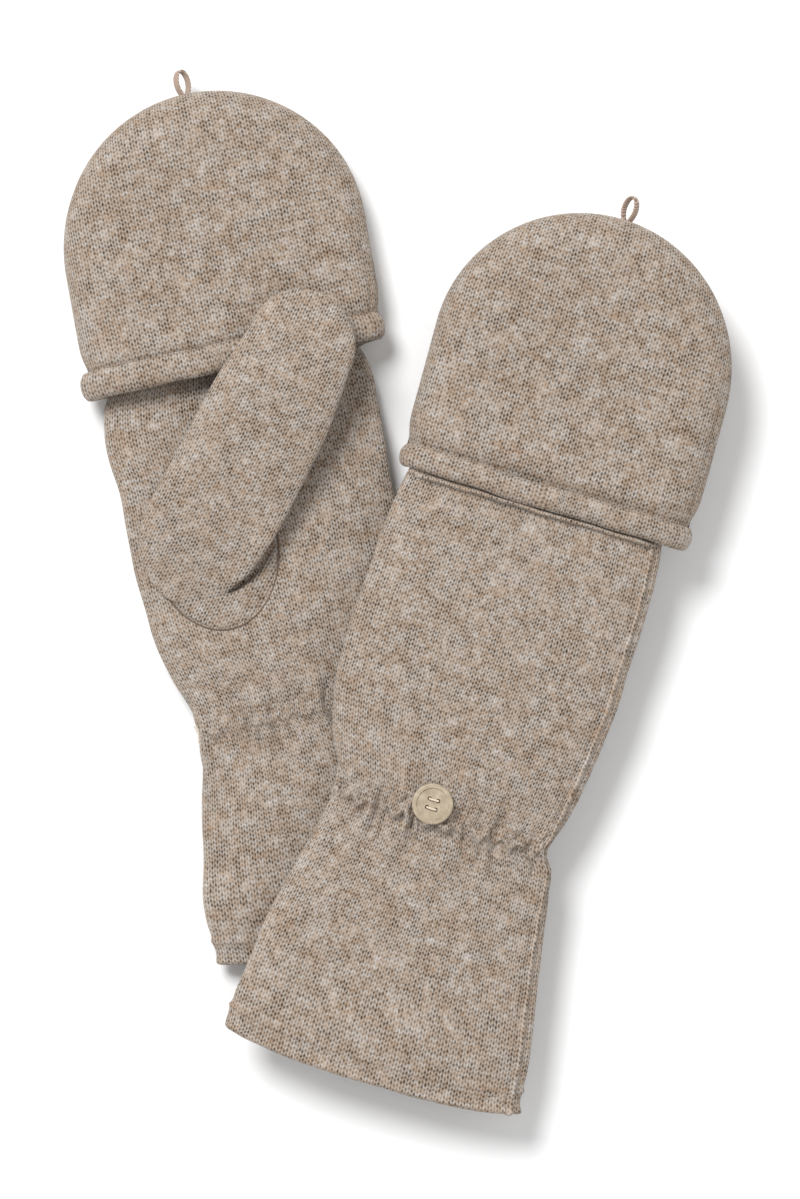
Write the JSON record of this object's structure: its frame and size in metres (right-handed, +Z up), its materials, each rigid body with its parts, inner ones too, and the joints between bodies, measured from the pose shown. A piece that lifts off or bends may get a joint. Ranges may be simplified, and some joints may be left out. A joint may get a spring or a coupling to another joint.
{
  "type": "pair of convertible flip-top mittens",
  "caption": "Pair of knitted mittens with a flip-back hood over open fingers, a gathered wrist, a folded-in thumb and a button that a loop on the hood's tip catches.",
  "frame": {"origin": "middle of the pair's outline on the surface that it lies on", "axes": "+Y to the fingertips, +X to the little-finger side, +Z up from the surface"},
  "size_m": [0.2348, 0.3608, 0.0412],
  "materials": {
    "knit": "fine heathered stockinette, matt",
    "elastic": "covered flat elastic",
    "ribbon": "narrow woven ribbon",
    "button": "horn-like, softly polished",
    "thread": "sewing thread"
  },
  "bodies": {
    "left_hand": {"left_body_wrap": "knit", "left_cuff_hem": "knit", "left_finger_hem": "knit", "left_wrist_elastic": "elastic", "left_hood_seam": "knit", "left_thumb_gusset": "knit", "left_button_thread": "thread"},
    "left_hood": {"left_hood_back_panel": "knit", "left_hood_palm_panel": "knit", "left_hood_rim": "knit"},
    "left_thumb": {"left_thumb_sleeve": "knit"},
    "left_loop": {"left_hood_loop": "ribbon"},
    "left_button": {"left_wrist_button": "button"},
    "right_hand": {"right_body_wrap": "knit", "right_cuff_hem": "knit", "right_finger_hem": "knit", "right_wrist_elastic": "elastic", "right_hood_seam": "knit", "right_thumb_gusset": "knit", "right_button_thread": "thread"},
    "right_hood": {"right_hood_back_panel": "knit", "right_hood_palm_panel": "knit", "right_hood_rim": "knit"},
    "right_thumb": {"right_thumb_sleeve": "knit"},
    "right_loop": {"right_hood_loop": "ribbon"},
    "right_button": {"right_wrist_button": "button"}
  },
  "joints": [
    {"name": "left_hood_flip", "type": "hinge", "parent": "left_hand", "child": "left_hood", "pos_m": [-0.0532, 0.06785, 0.0015], "axis": [-0.9778, -0.2096, 0], "range_deg": [0, 175]},
    {"name": "left_thumb_swing", "type": "hinge", "parent": "left_hand", "child": "left_thumb", "pos_m": [-0.06357, 0.02005, 0.02635], "axis": [0.8918, -0.4524, 0], "range_deg": [0, 80]},
    {"name": "left_loop_swing", "type": "hinge", "parent": "left_hood", "child": "left_loop", "pos_m": [-0.0752, 0.17287, 0.01184], "axis": [-0.9778, -0.2096, 0], "range_deg": [-40, 40]},
    {"name": "left_button_tilt", "type": "hinge", "parent": "left_hand", "child": "left_button", "pos_m": [-0.03761, -0.03824, 0.00283], "axis": [-0.9778, -0.2096, 0], "range_deg": [-5, 5]},
    {"name": "right_hood_flip", "type": "hinge", "parent": "right_hand", "child": "right_hood", "pos_m": [0.05027, 0.0259, 0.03737], "axis": [0.9569, -0.2887, -0.0296], "range_deg": [0, 175]},
    {"name": "right_thumb_swing", "type": "hinge", "parent": "right_hand", "child": "right_thumb", "pos_m": [0.01762, -0.00985, 0.01159], "axis": [-0.5614, 0.8263, 0.045], "range_deg": [0, 80]},
    {"name": "right_loop_swing", "type": "hinge", "parent": "right_hood", "child": "right_loop", "pos_m": [0.08165, 0.12882, 0.03078], "axis": [0.9569, -0.2887, -0.0296], "range_deg": [-40, 40]},
    {"name": "right_button_tilt", "type": "hinge", "parent": "right_hand", "child": "right_button", "pos_m": [0.01255, -0.07436, 0.03252], "axis": [0.9569, -0.2887, -0.0296], "range_deg": [-5, 5]},
    {"name": "right_mitten_lift", "type": "slide", "parent": "left_hand", "child": "right_hand", "axis": [0, 0, 1], "range_m": [0, 0.12]}
  ]
}
